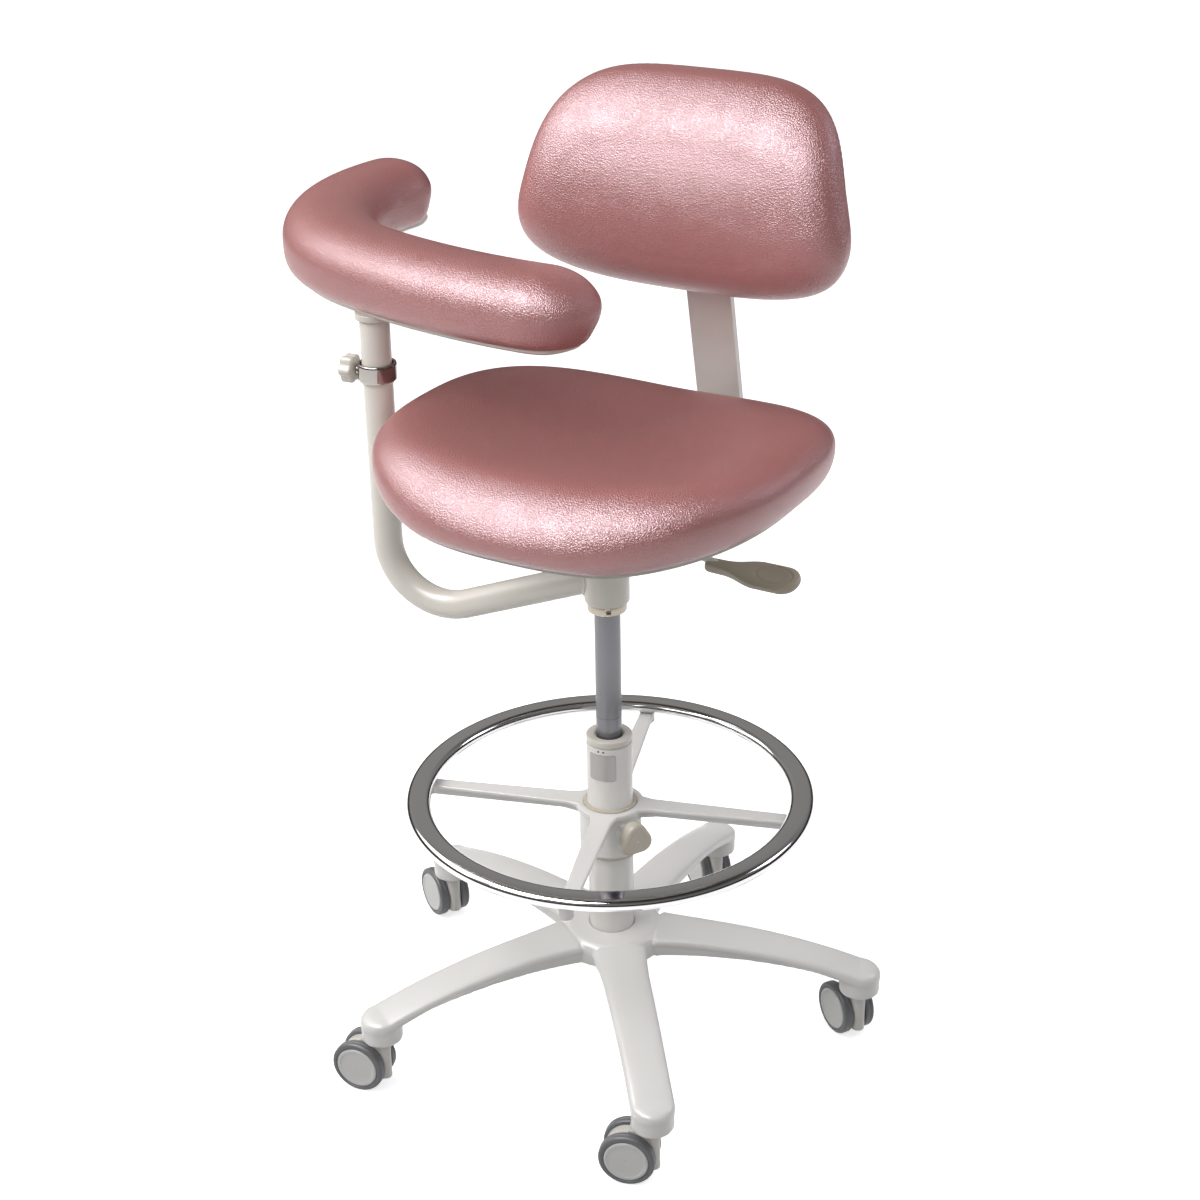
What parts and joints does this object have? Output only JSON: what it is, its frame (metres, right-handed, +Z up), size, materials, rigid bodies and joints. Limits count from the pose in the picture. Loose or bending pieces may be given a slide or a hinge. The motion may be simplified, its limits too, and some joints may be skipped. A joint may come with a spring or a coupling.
{
  "type": "dental operator stool",
  "caption": "Height-adjustable operator stool on casters with a foot ring, a backrest and a swinging body support.",
  "frame": {"origin": "on the floor under the column axis", "axes": "+Z up the column, -Y the way the sitter faces, +X towards the sitter's left"},
  "size_m": [0.7739, 0.5834, 1.0415],
  "materials": {
    "white_plastic": "satin",
    "white_paint": "satin",
    "ivory_plastic": "matt",
    "grey_plate": "satin",
    "steel": "brushed",
    "dark_steel": "oxidised",
    "gas_tube": "satin",
    "champagne": "polished",
    "ivory_paint": "satin",
    "shell_plastic": "matt",
    "rose_vinyl": "metallic satin with a fine grain",
    "beige_plastic": "satin",
    "cream_paint": "satin",
    "chrome": "polished",
    "dark_plastic": "matt",
    "hood_plastic": "satin",
    "disc_plastic": "satin",
    "tyre_rubber": "matt"
  },
  "bodies": {
    "base": {"star_base": "white_plastic", "column_tube": "white_paint", "column_bush": "ivory_plastic", "column_plate": "grey_plate", "caster_stems": "steel", "thrust_bearing": "steel"},
    "swivel": {"piston_rod": "steel", "retaining_clip": "dark_steel"},
    "lift": {"pressure_tube": "gas_tube", "collar_ring": "champagne", "seat_mechanism": "ivory_paint", "seat_shell": "shell_plastic", "seat_cushion": "rose_vinyl", "seat_bolts": "dark_steel"},
    "release_pin": {"release_pin": "steel"},
    "lever": {"lever_rod": "ivory_paint", "lever_paddle": "beige_plastic"},
    "support_arm": {"support_arm": "cream_paint", "arm_clamp": "chrome"},
    "arm_clamp_knob": {"arm_clamp_knob": "white_plastic"},
    "arm_post": {"arm_post": "cream_paint"},
    "arm_pad": {"arm_plate": "ivory_plastic", "arm_pad": "rose_vinyl", "arm_screws": "dark_steel"},
    "back_bar": {"back_bar": "cream_paint"},
    "back_bar_knob": {"back_bar_knob": "dark_plastic"},
    "backrest": {"back_shell": "shell_plastic", "back_cushion": "rose_vinyl"},
    "back_knob": {"back_knob": "dark_plastic"},
    "ring_slide": {"ring_bush": "ivory_plastic"},
    "foot_ring": {"ring_spider": "white_paint", "foot_ring": "chrome", "ring_screws": "dark_steel"},
    "ring_knob": {"ring_knob": "beige_plastic"},
    "caster_1": {"caster_hood_1": "hood_plastic"},
    "wheel_1_left": {"caster_1_disc_left": "disc_plastic", "caster_1_tyre_left": "tyre_rubber"},
    "wheel_1_right": {"caster_1_disc_right": "disc_plastic", "caster_1_tyre_right": "tyre_rubber"},
    "caster_2": {"caster_hood_2": "hood_plastic"},
    "wheel_2_left": {"caster_2_disc_left": "disc_plastic", "caster_2_tyre_left": "tyre_rubber"},
    "wheel_2_right": {"caster_2_disc_right": "disc_plastic", "caster_2_tyre_right": "tyre_rubber"},
    "caster_3": {"caster_hood_3": "hood_plastic"},
    "wheel_3_left": {"caster_3_disc_left": "disc_plastic", "caster_3_tyre_left": "tyre_rubber"},
    "wheel_3_right": {"caster_3_disc_right": "disc_plastic", "caster_3_tyre_right": "tyre_rubber"},
    "caster_4": {"caster_hood_4": "hood_plastic"},
    "wheel_4_left": {"caster_4_disc_left": "disc_plastic", "caster_4_tyre_left": "tyre_rubber"},
    "wheel_4_right": {"caster_4_disc_right": "disc_plastic", "caster_4_tyre_right": "tyre_rubber"},
    "caster_5": {"caster_hood_5": "hood_plastic"},
    "wheel_5_left": {"caster_5_disc_left": "disc_plastic", "caster_5_tyre_left": "tyre_rubber"},
    "wheel_5_right": {"caster_5_disc_right": "disc_plastic", "caster_5_tyre_right": "tyre_rubber"}
  },
  "joints": [
    {"name": "seat_swivel", "type": "hinge", "parent": "base", "child": "swivel", "pos_m": [0, 0, 0], "axis": [0, 0, 1], "continuous": true},
    {"name": "seat_lift", "type": "slide", "parent": "swivel", "child": "lift", "axis": [0, 0, 1], "range_m": [-0.135, 0.105]},
    {"name": "release_pin_press", "type": "slide", "parent": "lift", "child": "release_pin", "axis": [0, 0, 1], "range_m": [-0.0035, 0]},
    {"name": "lever_lift", "type": "hinge", "parent": "lift", "child": "lever", "pos_m": [0.036, 0, 0.6412], "axis": [0, -1, 0], "range_deg": [0, 5]},
    {"name": "support_arm_swing", "type": "hinge", "parent": "lift", "child": "support_arm", "pos_m": [0, 0, 0], "axis": [0, 0, 1], "range_deg": [-20, 150]},
    {"name": "arm_clamp_knob_turn", "type": "hinge", "parent": "support_arm", "child": "arm_clamp_knob", "pos_m": [-0.25644, -0.02831, 0.74998], "axis": [-0.9962, -0.0872, 0], "range_deg": [-180, 180]},
    {"name": "arm_post_rise", "type": "slide", "parent": "support_arm", "child": "arm_post", "axis": [0, 0, 1], "range_m": [0, 0.07]},
    {"name": "arm_pad_turn", "type": "hinge", "parent": "arm_post", "child": "arm_pad", "pos_m": [-0.25644, -0.02831, 0], "axis": [0, 0, 1], "range_deg": [-30, 20]},
    {"name": "back_bar_depth", "type": "slide", "parent": "lift", "child": "back_bar", "axis": [0, 1, 0], "range_m": [-0.02, 0.035]},
    {"name": "back_bar_knob_turn", "type": "hinge", "parent": "lift", "child": "back_bar_knob", "pos_m": [0, 0.0952, 0], "axis": [0, 0, 1], "range_deg": [-180, 180]},
    {"name": "backrest_height", "type": "slide", "parent": "back_bar", "child": "backrest", "axis": [0, -0.2079, 0.9781], "range_m": [-0.02, 0.02]},
    {"name": "back_knob_turn", "type": "hinge", "parent": "backrest", "child": "back_knob", "pos_m": [0, 0.21801, 0.87206], "axis": [0, 0.9781, 0.2079], "range_deg": [-180, 180]},
    {"name": "foot_ring_height", "type": "slide", "parent": "base", "child": "ring_slide", "axis": [0, 0, 1], "range_m": [-0.09, 0.034]},
    {"name": "foot_ring_turn", "type": "hinge", "parent": "ring_slide", "child": "foot_ring", "pos_m": [0, 0, 0], "axis": [0, 0, 1], "continuous": true},
    {"name": "ring_knob_turn", "type": "hinge", "parent": "foot_ring", "child": "ring_knob", "pos_m": [0, 0, 0.2646], "axis": [0.866, -0.5, 0], "range_deg": [-180, 180]},
    {"name": "caster_1_swivel", "type": "hinge", "parent": "base", "child": "caster_1", "pos_m": [0.17123, -0.22154, 0], "axis": [0, 0, 1], "continuous": true},
    {"name": "wheel_1_left_roll", "type": "hinge", "parent": "caster_1", "child": "wheel_1_left", "pos_m": [0.14774, -0.2285, 0.03], "axis": [0.284, -0.9588, 0], "continuous": true},
    {"name": "wheel_1_right_roll", "type": "hinge", "parent": "caster_1", "child": "wheel_1_right", "pos_m": [0.14774, -0.2285, 0.03], "axis": [0.284, -0.9588, 0], "continuous": true},
    {"name": "caster_2_swivel", "type": "hinge", "parent": "base", "child": "caster_2", "pos_m": [0.26361, 0.09439, 0], "axis": [0, 0, 1], "continuous": true},
    {"name": "wheel_2_left_roll", "type": "hinge", "parent": "caster_2", "child": "wheel_2_left", "pos_m": [0.2433, 0.10809, 0.03], "axis": [-0.5592, -0.829, 0], "continuous": true},
    {"name": "wheel_2_right_roll", "type": "hinge", "parent": "caster_2", "child": "wheel_2_right", "pos_m": [0.2433, 0.10809, 0.03], "axis": [-0.5592, -0.829, 0], "continuous": true},
    {"name": "caster_3_swivel", "type": "hinge", "parent": "base", "child": "caster_3", "pos_m": [-0.00831, 0.27988, 0], "axis": [0, 0, 1], "continuous": true},
    {"name": "wheel_3_left_roll", "type": "hinge", "parent": "caster_3", "child": "wheel_3_left", "pos_m": [-0.02838, 0.29393, 0.03], "axis": [-0.5736, -0.8192, 0], "continuous": true},
    {"name": "wheel_3_right_roll", "type": "hinge", "parent": "caster_3", "child": "wheel_3_right", "pos_m": [-0.02838, 0.29393, 0.03], "axis": [-0.5736, -0.8192, 0], "continuous": true},
    {"name": "caster_4_swivel", "type": "hinge", "parent": "base", "child": "caster_4", "pos_m": [-0.26875, 0.07859, 0], "axis": [0, 0, 1], "continuous": true},
    {"name": "wheel_4_left_roll", "type": "hinge", "parent": "caster_4", "child": "wheel_4_left", "pos_m": [-0.28996, 0.09084, 0.03], "axis": [-0.5, -0.866, 0], "continuous": true},
    {"name": "wheel_4_right_roll", "type": "hinge", "parent": "caster_4", "child": "wheel_4_right", "pos_m": [-0.28996, 0.09084, 0.03], "axis": [-0.5, -0.866, 0], "continuous": true},
    {"name": "caster_5_swivel", "type": "hinge", "parent": "base", "child": "caster_5", "pos_m": [-0.15779, -0.23131, 0], "axis": [0, 0, 1], "continuous": true},
    {"name": "wheel_5_left_roll", "type": "hinge", "parent": "caster_5", "child": "wheel_5_left", "pos_m": [-0.18205, -0.23472, 0.03], "axis": [0.1392, -0.9903, 0], "continuous": true},
    {"name": "wheel_5_right_roll", "type": "hinge", "parent": "caster_5", "child": "wheel_5_right", "pos_m": [-0.18205, -0.23472, 0.03], "axis": [0.1392, -0.9903, 0], "continuous": true}
  ],
  "couplings": [
    {"joint": "release_pin_press", "follows": "lever_lift", "m_per_rad": -0.036}
  ]
}
